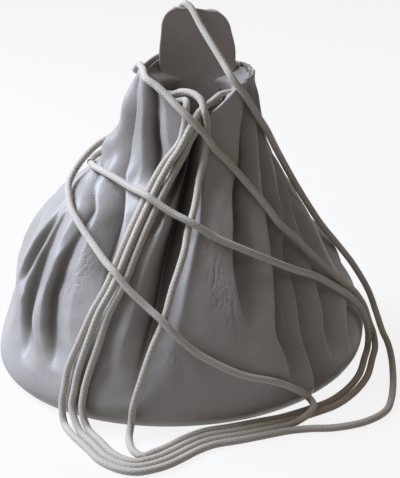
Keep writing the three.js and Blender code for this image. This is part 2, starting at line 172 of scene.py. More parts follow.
def inset(bearing, height, distance):
    """Points inside the pouch's outline by a level distance."""
    half_width, half_depth, shift = (ease(STATIONS[0], row, height) for row in STATIONS[1:])
    apart = wrapped(np.asarray(bearing, float) - SLUMP_BEARING)
    slump = SLUMP * np.exp(-((apart / SLUMP_SPREAD) ** 2) - (np.asarray(height) / SLUMP_HEIGHT) ** 2)
    turn = np.radians(bearing)
    x = shift + (half_width + slump - distance) * np.sin(turn)
    y = -(half_depth + slump - distance) * np.cos(turn)
    return np.stack(np.broadcast_arrays(x, y, np.asarray(height, float)), -1)


def off(bearing, height, distance):
    """Point off the pouch's outline along its normal."""
    step = 0.5
    across = inset(bearing + step, height, 0) - inset(bearing - step, height, 0)
    upward = inset(bearing, height + step, 0) - inset(bearing, height - step, 0)
    normal = np.cross(across, upward)
    return inset(bearing, height, 0) + distance * normal / np.linalg.norm(normal)


def rim_height(bearing):
    """Height of the leather's top edge, with the notch at the front."""
    angle = wrapped(np.asarray(bearing, float))
    edge = np.where(angle < NOTCH_MIDDLE, NOTCH_LEFT, NOTCH_RIGHT)
    side = np.where(edge < 0, -SIDE_RIM, SIDE_RIM)
    climb = np.clip((angle - NOTCH_MIDDLE) / (edge - NOTCH_MIDDLE), 0, 1)
    shoulder = np.clip((angle - edge) / (side - edge), 0, 1)
    swell = RIM_SWELL * np.exp(-(((angle - RIM_SWELL_BEARING) / RIM_SWELL_SPREAD) ** 2))
    return NOTCH_HEIGHT + (NOTCH_TOP - NOTCH_HEIGHT) * climb + (RIM_HEIGHT - NOTCH_TOP) * shoulder + swell


# How round a valley's bottom is, and how steeply its left and right flanks fall
VALLEY_ROUNDING = 0.003
LEFT_FALL = 1.7
RIGHT_FALL = 1.3

# Folds go no deeper than this at the neck, and than this more below it
NECK_FOLD_LIMIT = 7.4
BODY_FOLD_EXTRA = 24
NECK_FOLD_HEIGHTS = (114, 136)

# Folds fade into the rim. At the front left they fade later.
RIM_FADE = 0.9
RIM_FADE_START = 138
RIM_FADE_END = 154
LATE_FADE = 9
LATE_FADE_BEARING = -60
LATE_FADE_SPREAD = 30

# Depth and reach of the groove at a side seam
SEAM_GROOVE = 1.1

# Painted shade along the valleys: how far left of the bottom its lines lie, their half width, and the
# bearing from which valleys turn away from the window, with the strength and reach of the painted shade on
# their right flanks
LINE_SHIFT = 0.7
LINE_WIDTH = 1.5
SHADED_FROM = 10
SHADE = 0.6
SHADE_REACH = 11
LINE_FADE_HEIGHTS = (146, 153)

# How much painted shade a valley's line and a crease take, and the depths over which the leather darkens
# with painted shade in its folds
LINE_DARKNESS = 0.9
CREASE_DARKNESS = 0.45
DARKENING_DEPTHS = (3, 30)

# Valleys between the gathered folds. Each has the reach of its left and right flank in degrees, then
# points from low to high: height, bearing and depth.
VALLEYS = (
    (2.4, 9, ((43, -69.5, 0), (49, -72, 4.5), (58, -70.5, 6), (65, -69, 6), (73, -67, 5.5), (81, -67, 4),
              (88, -71, 2), (93, -74, 0))),
    (2.4, 11, ((16, -55, 0), (24, -60, 5.5), (29, -62, 7), (38, -63, 7), (48, -62.5, 7), (59, -62, 6.5),
               (69, -62, 6), (76, -62.5, 5), (84, -63, 3), (90, -66, 1), (94, -67, 0))),
    (2.6, 12, ((20, -43, 0), (28, -45.5, 5), (34, -47, 7), (42, -48, 8), (52, -48.5, 8), (62, -47, 7.5),
               (72, -47.5, 6.5), (80, -48.5, 4), (88, -51, 0))),
    (7, 10, ((70, -46.5, 0), (78, -47, 5), (84, -49, 8), (89, -51.5, 9), (93, -58, 9), (97, -67.5, 7.5),
             (102, -78, 5), (106, -86, 2), (112, -92, 0))),
    (15, 9, ((36, -25, 0), (50, -25, 3), (60, -26, 8), (68, -28, 14), (78, -30, 19), (87, -33, 20),
             (92, -36, 19), (99, -43.5, 18), (104, -50, 16), (108, -55, 15), (114, -60, 13), (121, -65, 12),
             (129, -67, 12), (136, -69, 12), (142, -73, 11), (147, -77, 9), (150, -79, 6), (153, -82, 2))),
    (9, 18, ((104, -25, 0), (110, -27.5, 8), (116, -32, 10), (125, -39, 9), (133, -43, 8.5),
             (140, -46.5, 8.5), (146, -52, 8), (151, -58, 5), (153, -60, 3))),
    (7, 11, ((14, -16, 0), (33.5, -12.5, 6), (51.5, -8, 16), (65, -5, 22), (80, -1.5, 28), (90, 0, 28),
             (104, -2, 24), (117, -2, 18), (127, 0, 11), (153, 3, 7))),
    (6, 8, ((96, -9, 0), (104, -8.5, 15), (117, -8, 15), (127, -6, 9), (140, -4, 5), (153, -3, 3))),
    (3, 17, ((46, 24, 0), (60, 25, 7), (72, 26.5, 11), (88, 29.5, 14), (105, 31, 13), (113, 36, 12),
             (129, 43, 9), (138.5, 50, 8), (153, 58, 7))),
    (3, 12, ((10, 33.5, 0), (29, 34.5, 8), (42, 34.5, 11), (56, 38.5, 13), (67, 43, 14), (87, 49, 14),
             (101, 53, 13), (125, 64, 9), (153, 74, 7))),
    (3, 12, ((2, 44, 1), (10, 43.5, 6), (30, 43, 11), (40, 44.5, 13), (58, 49.5, 14), (72.5, 54.5, 14),
             (94, 66, 12), (111, 77, 9), (153, 91, 7))),
    (3, 12, ((14, 51, 0), (33, 54, 9), (50, 59.5, 12), (70, 67, 11), (87.5, 76, 9), (103, 84, 8),
             (153, 104, 7))),
    (4, 13, ((10, 63, 0), (27.5, 68, 7), (41, 75, 8), (55, 80, 7), (70, 85, 7), (90, 93, 6), (106, 99, 7),
             (153, 117, 7))),
    (4, 13, ((18, 83, 0), (40, 92, 7), (70, 100, 9), (110, 113, 9), (153, 129, 7))),
    (6, 13, ((10, 105, 0), (36, 108, 8), (70, 115, 13), (110, 127, 11), (153, 141, 7))),
    (10, 10, ((26, 125, 0), (60, 129, 12), (100, 139, 13), (153, 154, 7))),
    (7, 12, ((8, 146, 0), (40, 149, 9), (80, 154, 13), (153, 167, 7))),
    (12, 7, ((22, 172, 0), (60, 172, 12), (100, 176, 13), (153, 181, 7))),
    (12, 6, ((10, 198, 0), (44, 196, 10), (90, 197, 12), (153, 197, 7))),
    (12, 7, ((24, 222, 0), (66, 217, 11), (110, 211, 9), (153, 212, 7))),
    (12, 6, ((12, 246, 0), (46, 242, 8), (80, 236, 7), (110, 226, 4), (153, 225, 6))),
    (12, 6, ((26, 269, 0), (64, 264, 9), (84, 259, 4), (112, 246, 0))),
)

# Short soft dents, or swellings where the depth is negative: bearing, height, half width and half height
# in millimetres, depth
DENTS = (
    (-88, 115, 8, 8, -6.5),
    (-88, 137, 14, 13, -5),
    (97, 149, 9, 6, 3),
    (-56, 21, 9, 8, 2.4),
    (-46, 76, 8, 7, 2.5),
    (-10.8, 91, 2.2, 5, 1.8),
    (-7.4, 93.5, 1.7, 4, -1.2),
    (-9, 88, 2.4, 1.9, -1),
    (-38, 28, 16, 18, 2),
    (8, 26, 18, 16, 2.2),
    (58, 22, 10, 12, 1.8),
    (28, 14, 12, 10, 1.4),
    (-78, 30, 12, 16, 2),
    (132, 40, 20, 16, 2.4),
    (182, 30, 22, 18, 2.6),
    (232, 42, 20, 18, 2.4),
)

# Patches of fine creases: bearing, height, half width and half height of the patch in millimetres,
# lean of the creases from upright in degrees, spacing and depth
CreasePatch = namedtuple("CreasePatch", "bearing height wide tall lean spacing depth")
CREASES = [CreasePatch(*row) for row in (
    (-43, 60, 7, 16, -20, 3.6, 0.5),
    (-38, 68, 5, 7, 30, 3, 0.35),
    (16, 72, 5, 17, -24, 2.8, 0.5),
    (20, 54, 4, 12, -14, 3, 0.4),
    (39.5, 42, 5, 15, -8, 2.8, 0.8),
    (-2, 36, 5, 10, -20, 3, 0.3),
    (120, 60, 8, 16, 10, 3.2, 0.45),
    (205, 56, 8, 18, -10, 3.4, 0.45),
)]


def crease_patch(bearing, height, patch):
    """Millimetres across and up from the middle of a patch of creases, and the patch's strength there."""
    across = wrapped(bearing - patch.bearing) * degree_length(height)
    upward = height - patch.height
    return across, upward, np.exp(-((across / patch.wide) ** 2) - (upward / patch.tall) ** 2)


def crease_lines(bearing, height, patch):
    """Broken wavy lines of a patch of creases: 1 at the bottom of a line, 0 between the lines."""
    across, upward, mask = crease_patch(bearing, height, patch)
    turn = math.radians(patch.lean)
    level_out = across * math.cos(turn) + upward * math.sin(turn)
    wander = 1.3 * waves(across, upward * 0.5, 9, 11 + int(patch.height))
    groove = np.abs(np.sin(np.pi * (level_out + wander) / patch.spacing))
    broken = smoothstep(waves(across * 2, upward * 0.7, 9, 23 + int(patch.height)), -0.5, 0.5)
    return mask * broken * (1 - smoothstep(groove, 0, 0.55))


def waves(x, y, size, seed):
    """Seeded soft unevenness between about -1 and 1, with features of about the given size."""
    random = np.random.default_rng(seed)
    total = 0
    for _ in range(7):
        angle = random.uniform(0, 2 * np.pi)
        count = 2 * np.pi / (size * random.uniform(0.7, 1.6))
        phase = random.uniform(0, 2 * np.pi)
        total = total + np.sin(count * (x * np.cos(angle) + y * np.sin(angle)) + phase)
    return total / 3.5


def leather_depth(bearing, height):
    """How far the leather lies inside the pouch's outline."""
    total = np.zeros(np.broadcast(bearing, height).shape)
    for left, right, points in VALLEYS:
        heights, bearings, depths = np.array(points, float).T
        apart = wrapped(bearing - ease(heights, bearings, height))
        flank = np.abs(apart) / np.where(apart < 0, left, right)
        steepness = np.where(apart < 0, LEFT_FALL, RIGHT_FALL)
        fall = np.clip(1 - np.sqrt(flank * flank + VALLEY_ROUNDING), 0, None) ** steepness
        total = total + (np.clip(ease(heights, depths, height), 0, None) * fall) ** 3
    depth = np.cbrt(total)
    limit = NECK_FOLD_LIMIT + BODY_FOLD_EXTRA * (1 - smoothstep(height, *NECK_FOLD_HEIGHTS))
    depth = depth / (1 + (depth / limit) ** 4) ** 0.25
    apart = wrapped(np.asarray(bearing) - LATE_FADE_BEARING)
    fade_start = RIM_FADE_START + LATE_FADE * np.exp(-((apart / LATE_FADE_SPREAD) ** 2))
    depth = depth * (1 - RIM_FADE * smoothstep(height, fade_start, RIM_FADE_END))
    degree = degree_length(height)
    for middle, level, wide, tall, amount in DENTS:
        across = wrapped(bearing - middle) * degree / wide
        depth = depth + amount * np.exp(-across * across - ((height - level) / tall) ** 2)
    for patch in CREASES:
        depth = depth + patch.depth * crease_lines(bearing, height, patch)
    belly = smoothstep(height, 4, 30) * (1 - smoothstep(height, 90, 130))
    around = np.asarray(bearing) * 1.6
    depth = depth + belly * (0.9 * waves(around, height, 34, 3) + 0.25 * waves(around, height, 12, 4))
    for seam in (LEFT_SEAM, RIGHT_SEAM):
        apart = wrapped(bearing - seam) * degree
        depth = depth + SEAM_GROOVE * np.exp(-np.abs(apart) / SEAM_GROOVE)
    return depth


def fold_line(bearing, height):
    """Painted shade: 1 along the bottom of a deep valley, falling to 0 a short way up its flanks. The
    valleys of the right side and the back, away from the window, also take soft painted shade along their
    right flanks."""
    mark = np.zeros(np.broadcast(bearing, height).shape)
    for _, _, points in VALLEYS:
        heights, bearings, depths = np.array(points, float).T
        apart = wrapped(bearing - ease(heights, bearings, height)) * degree_length(height) + LINE_SHIFT
        line = np.exp(-((apart / LINE_WIDTH) ** 2))
        if bearings[0] > SHADED_FROM:
            shade = np.where(apart > 0, np.exp(-((apart / SHADE_REACH) ** 2)), 0)
            line = np.maximum(line, SHADE * shade)
        mark = np.maximum(mark, line * smoothstep(ease(heights, depths, height), 1, 9))
    return mark * (1 - smoothstep(height, *LINE_FADE_HEIGHTS))


# Rows of a panel: height share, drop below the rim and extra inset. The first turn the foot in. Rows are
# level up to a share of the height and then bend to follow the rim, and the last hang inside it as a hem.
FOOT_ROWS = ((0.012, 0, 2.2), (0.003, 0, 1.8), (0, 0, 1), (0, 0, 0.3))
LEVEL_SHARE = 0.6
HEM_RADIUS = 0.9
HEM_DROPS = (1, 2.2, 3.6)
HEM_LEAN = 0.05


def rows_of_leather(count):
    """Rows of a panel from its turned-in foot to the hem inside the rim."""
    rows = list(FOOT_ROWS)
    rows += [(share, 0, 0) for share in np.linspace(0.004, 1, count) ** 0.94]
    for turn in np.linspace(0, np.pi, 7)[1:]:
        rows.append((1, -HEM_RADIUS * math.sin(turn), HEM_RADIUS * (1 - math.cos(turn))))
    rows += [(1, drop, 2 * HEM_RADIUS + HEM_LEAN * drop) for drop in HEM_DROPS]
    return np.array(rows)


def grid_mesh(name, columns, rows, shape, closed=False, marks=None):
    """Sheet of quads whose points come from shape(across, up), both running from 0 to 1. Each of the marks
    is a like function, whose values are kept on the points as an attribute of that name."""
    sheet = bmesh.new()
    bmesh.ops.create_grid(sheet, x_segments=columns, y_segments=rows, size=0.5)
    places = np.array([vert.co[:] for vert in sheet.verts])
    across = np.round((places[:, 0] + 0.5) * columns) / columns
    up = np.round((places[:, 1] + 0.5) * rows) / rows
    uv_layer = sheet.loops.layers.uv.new("UVMap")
    sheet.verts.index_update()
    for face in sheet.faces:
        face.smooth = True
        for loop in face.loops:
            k = loop.vert.index
            loop[uv_layer].uv = (across[k], up[k])
    points = shape(across, up) * MM
    for vert, point in zip(sheet.verts, points):
        vert.co = point
    for mark, values in (marks or {}).items():
        layer = sheet.verts.layers.float.new(mark)
        for vert, value in zip(sheet.verts, values(across, up)):
            vert[layer] = value
    if closed:
        bmesh.ops.remove_doubles(sheet, verts=sheet.verts, dist=MERGE_DISTANCE)
        bmesh.ops.holes_fill(sheet, edges=[edge for edge in sheet.edges if edge.is_boundary])
        bmesh.ops.recalc_face_normals(sheet, faces=sheet.faces)
    return add_object(name, sheet)


def add_object(name, sheet):
    """Object at the origin with the sheet as its mesh."""
    mesh = bpy.data.meshes.new(name)
    sheet.to_mesh(mesh)
    sheet.free()
    obj = bpy.data.objects.new(name, mesh)
    bpy.context.scene.collection.objects.link(obj)
    return obj


def thicken(obj, thickness):
    """Gives a sheet a thickness in metres."""
    sheet = bmesh.new()
    sheet.from_mesh(obj.data)
    bmesh.ops.remove_doubles(sheet, verts=sheet.verts, dist=MERGE_DISTANCE)
    bmesh.ops.solidify(sheet, geom=sheet.faces[:], thickness=thickness)
    bmesh.ops.recalc_face_normals(sheet, faces=sheet.faces)
    sheet.to_mesh(obj.data)
    sheet.free()


def finish_piece(obj, material, body, nodes):
    """Finish, slot and replaced nodes of a piece, and the body it rides on if it doesn't bend."""
    obj.data.materials.append(material)
    if body:
        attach(obj, body)
    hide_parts(*nodes)


# Materials

# Colour towards which the leather darkens as painted shade in its folds and creases
FOLD_SHADE_COLOUR = "#6f665f"


def linear(hex_colour):
    """Linear colour of an sRGB hex value."""
    parts = [int(hex_colour[i : i + 2], 16) / 255 for i in (1, 3, 5)]
    return [p / 12.92 if p <= 0.04045 else ((p + 0.055) / 1.055) ** 2.4 for p in parts] + [1]


def add(tree, kind, settings=None, **inputs):
    """Adds a node. Settings are its own properties; inputs are values or the sockets to link from, with
    spaces in a socket's name written as underscores."""
    node = tree.nodes.new(kind)
    for name, value in (settings or {}).items():
        setattr(node, name, value)
    for name, value in inputs.items():
        key = int(name[1:]) if name[1:].isdigit() else name.replace("_", " ")
        if isinstance(value, bpy.types.NodeSocket):
            tree.links.new(value, node.inputs[key])
        else:
            node.inputs[key].default_value = value
    return node


def calc(tree, operation, *values):
    """Result of a sum on one, two or three values or sockets."""
    inputs = {f"i{index}": value for index, value in enumerate(values)}
    return add(tree, "ShaderNodeMath", {"operation": operation}, **inputs).outputs["Value"]


def new_material(name):
    """Empty material and its node tree."""
    material = bpy.data.materials.new(name)
    material.use_nodes = True
    material.node_tree.nodes.clear()
    return material, material.node_tree


def ramp(tree, factor, stops):
    """Colour ramp between two stops, each a position and a colour."""
    node = add(tree, "ShaderNodeValToRGB", Fac=factor)
    for element, (position, colour) in zip(node.color_ramp.elements, stops):
        element.position = position
        element.color = colour
    return node


def pearl_leather(name, dark, light, roughness, coat):
    """Calf leather with a pearl pigment finish: a soft broad sheen, faint milled grain, small changes of
    tone, and painted shade deep in the folds, along the valley lines and in the creases."""
    material, tree = new_material(name)
    place = add(tree, "ShaderNodeTexCoord").outputs["Object"]
    cloud = add(tree, "ShaderNodeTexNoise", Vector=place, Scale=1 / 0.045, Detail=4.0, Roughness=0.55)
    fleck = add(tree, "ShaderNodeTexNoise", Vector=place, Scale=1 / 0.0016, Detail=2.0, Roughness=0.6)
    tone = calc(tree, "MULTIPLY_ADD", fleck.outputs["Fac"], 0.25, cloud.outputs["Fac"])
    colour = ramp(tree, tone, ((0.42, linear(dark)), (0.84, linear(light))))
    # The fold attribute is painted shade: the colour is multiplied towards the fold shade colour in deep
    # folds, along valley lines and in creases
    fold = add(tree, "ShaderNodeAttribute", {"attribute_name": "fold"})
    fold_shaded = add(tree, "ShaderNodeMix", {"data_type": "RGBA", "blend_type": "MULTIPLY"},
               i0=fold.outputs["Fac"], i6=colour.outputs["Color"], i7=linear(FOLD_SHADE_COLOUR))
    crease = add(tree, "ShaderNodeAttribute", {"attribute_name": "crease"})
    drawn = add(tree, "ShaderNodeMapping", Vector=place, Scale=(1.0, 1.0, 0.36))
    crack = add(tree, "ShaderNodeTexVoronoi", {"feature": "DISTANCE_TO_EDGE"},
                Vector=drawn.outputs["Vector"], Scale=1 / 0.0027)
    line = add(tree, "ShaderNodeMapRange", Value=crack.outputs["Distance"], From_Min=0.0, From_Max=0.16,
               To_Min=1.0, To_Max=0.0)
    creased = calc(tree, "MULTIPLY", line.outputs["Result"], crease.outputs["Fac"])
    grain = add(tree, "ShaderNodeTexVoronoi", {"feature": "SMOOTH_F1"}, Vector=place, Scale=1 / 0.0017,
                Smoothness=0.7)
    pores = add(tree, "ShaderNodeTexNoise", Vector=place, Scale=1 / 0.006, Detail=5.0, Roughness=0.62)
    relief = calc(tree, "MULTIPLY_ADD", pores.outputs["Fac"], 1.6, grain.outputs["Distance"])
    sunk = calc(tree, "MULTIPLY_ADD", creased, -4.0, relief)
    bump = add(tree, "ShaderNodeBump", Strength=0.2, Distance=0.0004, Height=sunk)
    rough = add(tree, "ShaderNodeMapRange", Value=pores.outputs["Fac"], From_Min=0.3, From_Max=0.7,
                To_Min=roughness - 0.06, To_Max=roughness + 0.08)
    shader = add(tree, "ShaderNodeBsdfPrincipled", Base_Color=fold_shaded.outputs[2],
                 Roughness=rough.outputs["Result"], Normal=bump.outputs["Normal"], IOR=1.45,
                 Specular_IOR_Level=0.34, Coat_Weight=coat, Coat_Roughness=0.36)
    add(tree, "ShaderNodeOutputMaterial", Surface=shader.outputs["BSDF"])
    return material


def braided_cord(name, dark, light):
    """Waxed cotton cord braided round: matt, with slanting yarns painted lighter on their crests and darker
    in their grooves, as painted highlight and shade.
    The yarns run on the cord's own UV map, around and along."""
    material, tree = new_material(name)
    uv = add(tree, "ShaderNodeUVMap", {"uv_map": "UVMap"}).outputs["UV"]
    split = add(tree, "ShaderNodeSeparateXYZ", Vector=uv)
    around = calc(tree, "MULTIPLY", split.outputs["X"], BRAID_YARNS)
    count = []
    ridge = []
    for sign in (1, -1):
        turn = calc(tree, "MULTIPLY_ADD", split.outputs["Y"], sign, around)
        angle = calc(tree, "MULTIPLY", turn, math.pi)
        ridge.append(calc(tree, "ABSOLUTE", calc(tree, "SINE", angle)))
        count.append(calc(tree, "FLOOR", turn))
    over = calc(tree, "FLOORED_MODULO", calc(tree, "ADD", *count), 2.0)
    weave = add(tree, "ShaderNodeMix", {"data_type": "FLOAT"}, i0=over, i2=ridge[1], i3=ridge[0])
    place = add(tree, "ShaderNodeTexCoord").outputs["Object"]
    fuzz = add(tree, "ShaderNodeTexNoise", Vector=place, Scale=1 / 0.0008, Detail=3.0, Roughness=0.6)
    # Painted highlight and shade: the tone rises on each yarn's crest and falls in the grooves between
    # yarns, with a random fuzz of the cotton's own tone
    tone = calc(tree, "MULTIPLY_ADD", fuzz.outputs["Fac"], 0.3, weave.outputs[0])
    colour = ramp(tree, tone, ((0.2, linear(dark)), (0.85, linear(light))))
    bump = add(tree, "ShaderNodeBump", Strength=0.3, Distance=0.0003, Height=tone)
    shader = add(tree, "ShaderNodeBsdfPrincipled", Base_Color=colour.outputs["Color"], Roughness=0.72,
                 Normal=bump.outputs["Normal"], IOR=1.5, Sheen_Weight=0.25, Sheen_Roughness=0.5)
    add(tree, "ShaderNodeOutputMaterial", Surface=shader.outputs["BSDF"])
    return material


def lining_cloth(name, dark, light):
    """Plain cotton lining: a fine even weave, drawn at 1.2 mm so that it shows."""
    material, tree = new_material(name)
    place = add(tree, "ShaderNodeTexCoord").outputs["Object"]
    threads = 0.314 / 0.0012
    warp = add(tree, "ShaderNodeTexWave", {"bands_direction": "Z"}, Vector=place, Scale=threads,
               Distortion=0.6)
    weft = add(tree, "ShaderNodeTexWave", {"bands_direction": "DIAGONAL"}, Vector=place, Scale=threads,
               Distortion=0.6)
    weave = calc(tree, "MULTIPLY", warp.outputs["Fac"], weft.outputs["Fac"])
    colour = ramp(tree, weave, ((0, linear(dark)), (0.8, linear(light))))
    bump = add(tree, "ShaderNodeBump", Strength=0.3, Distance=0.0002, Height=weave)
    shader = add(tree, "ShaderNodeBsdfPrincipled", Base_Color=colour.outputs["Color"], Roughness=0.9,
                 Normal=bump.outputs["Normal"], Sheen_Weight=0.2)
    add(tree, "ShaderNodeOutputMaterial", Surface=shader.outputs["BSDF"])
    return material


def pressed_board(name, dark, light):
    """Pressed fibreboard: dull, with short flecks of fibre."""
    material, tree = new_material(name)
    place = add(tree, "ShaderNodeTexCoord").outputs["Object"]
    fibre = add(tree, "ShaderNodeTexNoise", Vector=place, Scale=1 / 0.002, Detail=5.0, Roughness=0.7)
    colour = ramp(tree, fibre.outputs["Fac"], ((0.35, linear(dark)), (0.7, linear(light))))
    bump = add(tree, "ShaderNodeBump", Strength=0.2, Distance=0.0002, Height=fibre.outputs["Fac"])
    shader = add(tree, "ShaderNodeBsdfPrincipled", Base_Color=colour.outputs["Color"], Roughness=0.92,
                 Normal=bump.outputs["Normal"])
    add(tree, "ShaderNodeOutputMaterial", Surface=shader.outputs["BSDF"])
    return material


MATERIALS = {}


def material(kind):
    """Each finish is made once, when a piece first asks for it."""
    if kind not in MATERIALS:
        looks = bpy.context.scene.pouch_looks
        makers = {
            "leather": lambda: pearl_leather("pearl_calf_leather", "#958f8a", "#a9a39e", 0.5, looks.sheen),
            "tab": lambda: pearl_leather("matt_calf_leather", "#9b938c", "#a79e97", 0.6, 0.05),
            "cord": lambda: braided_cord("braided_cotton_cord", "#a89e91", "#c6bdb0"),
            "lining": lambda: lining_cloth("cotton_lining", "#3a3431", "#5d5550"),
            "board": lambda: pressed_board("pressed_fibreboard", "#6e604c", "#9a8a70"),
        }
        MATERIALS[kind] = makers[kind]()
    return MATERIALS[kind]


# Cords

OVER = CORD + GAP
FLOOR_HEIGHT = CORD_RADIUS + 0.15
OVER_TAB = TAB_TOP + CORD_RADIUS + GAP
OVER_RIM = RIM_HEIGHT + CORD_RADIUS + GAP
BEHIND_TAB = TAB_BACK + 1.2 + CORD_RADIUS + GAP
BRAID_YARNS = 6
BRAID_PITCH = 2.3
YARN_RELIEF = 0.1
CORD_SIDES = 24
CORD_STEP = 0.42


def on(bearing, height, lift=0):
    """Middle of a cord that lies on the leather's outline, or the lift above it."""
    return off(bearing, height, CORD_RADIUS + GAP + lift)


def floor(x, y, lift=0):
    """Middle of a cord that lies on the table, or the lift above it."""
    return np.array((x, y, FLOOR_HEIGHT + lift))


def point(x, y, z):
    """Middle of a cord that hangs free."""
    return np.array((x, y, z), float)


def neck_run(height, bearings):
    """Points of a cord inside the casing."""
    return [inset(bearing, height, CORD_INSET) for bearing in bearings]


# Cord A: out of the left mouth, down the outside of the bundle, along the table to the right, up the
# right side, over the pull tab, round behind it, and back down across the front to the right mouth
CORD_A_ROUTE = [
    *neck_run(LOWER_CORD_HEIGHT, (180, 205, 230, 255, 280, 302, 360 + CASING_LEFT)),
    point(-3.5, -17.5, 142), point(-0.5, -22, 143.4), on(-8.5, 140.2, 0.7), on(-8.5, 135.5), on(-9, 131),
    on(-10.8, 125), on(-15.2, 120), on(-19.5, 115), on(-22.3, 106), on(-21.1, 96), on(-20.1, 87),
    on(-20.5, 77), on(-21.2, 72), on(-23.2, 64), on(-26.9, 54), on(-30.9, 40), on(-35, 25), on(-35.2, 17),
    on(-34.8, 9.5, 0.8), floor(-59.4, -93.5, 0.6), floor(-55.2, -101.5), floor(-47, -113),
    floor(-38.9, -124.2), floor(-29, -130.8), floor(-21.7, -132.2), floor(-14.8, -130.3),
    floor(-8, -126.9), floor(-1.5, -121.8), floor(5.3, -115.8), floor(13, -110.8), floor(25.7, -107),
    floor(38, -102.9), floor(50, -99), floor(60.4, -97.3), floor(70.7, -96.7), floor(81.2, -94),
    floor(88, -91), floor(95.1, -85.9), floor(99.8, -80.3), floor(103, -72), floor(106, -59.6),
    floor(108.5, -44), floor(110.2, -28), floor(110.5, -14, 0.5), point(109, -3, 4.2),
    point(106.3, 8, 11.5), point(102.2, 11.5, 22), on(95.5, 37, 2), on(91.5, 53.5, 0.4), on(88, 68),
    on(88.5, 79), on(88, 91), on(86.5, 104.5), on(80, 114.5), on(72, 124), on(60, 133.5), on(47, 144),
    point(22.4, -17, 153.8), point(17.6, -9.5, 160.2), point(12.5, -2, 167), point(7.3, 6, 174),
    point(2.2, 13.4, OVER_TAB - 1.6), point(-1, TAB_BACK, OVER_TAB + 0.3),
    point(-2.6, BEHIND_TAB + 0.4, OVER_TAB - 1.2), point(-3.8, BEHIND_TAB + 0.2, TAB_TOP - 5),
    point(-6, BEHIND_TAB + 0.4, OVER_RIM + 12), point(-9.4, BEHIND_TAB + 1, OVER_RIM + 4), on(222, 151.5),
    on(236, 149.5), on(250, 150), on(260, 151.6, 0.6), point(-24.6, 2.4, OVER_RIM + 0.2),
    point(-22, -6.6, OVER_RIM), on(-50, 152.6, 2), on(-36, 149.8, 2.2), on(-24, 146, 3.4),
    on(-14, 141.4, 5.8), on(-7, 137.6, 7.2), on(-2, 134.4, 7.4), on(3, 131.4, 6.8), on(8.5, 127.2, 4.8),
    on(14.5, 121.5, 2), on(22.5, 116.2, 0.4), on(35, 105.5), on(46, 93.5), on(51.5, 83.8), on(57, 76.2),
    on(61, 67.2), on(66, 56), on(71.5, 46), on(77, 37), on(81.5, 25), on(83.2, 14, 1.2),
    point(103.2, -8, 5.4), floor(103, -17.5, 0.5), floor(99.7, -30), floor(93.9, -49.5),
    floor(84.9, -65.2), floor(75, -76.2), floor(66.4, -81.9), floor(48.1, -91.3), floor(35.6, -95.5),
    floor(23.4, -99.6), floor(9.9, -103.6), floor(0.6, -109.6), floor(-6.5, -115.8), floor(-12.2, -120.3),
    floor(-17.6, -123.1), floor(-22, -124.5), floor(-26, -123.7), floor(-33.4, -118.7),
    floor(-40.7, -108.5, 0.3), floor(-47.6, -98.4, 0.9), on(-28.6, 9.5, 1), on(-29, 17), on(-28, 25.5),
    on(-24.3, 40.5), on(-21.1, 54.5), on(-17.4, 64.5), on(-15.2, 72), on(-14.3, 77), on(-13.3, 87),
    on(-13.3, 96), on(-12.5, 106), on(-9.2, 115), on(-6.3, 120), on(-3.8, 125), on(-1, 128.6),
    on(1.6, 132, 0.5), point(5.6, -22.6, 136.6), point(9.3, -18.2, 138.2),
    *neck_run(LOWER_CORD_HEIGHT, (CASING_RIGHT, 58, 80, 105, 130, 155, 179)),
]

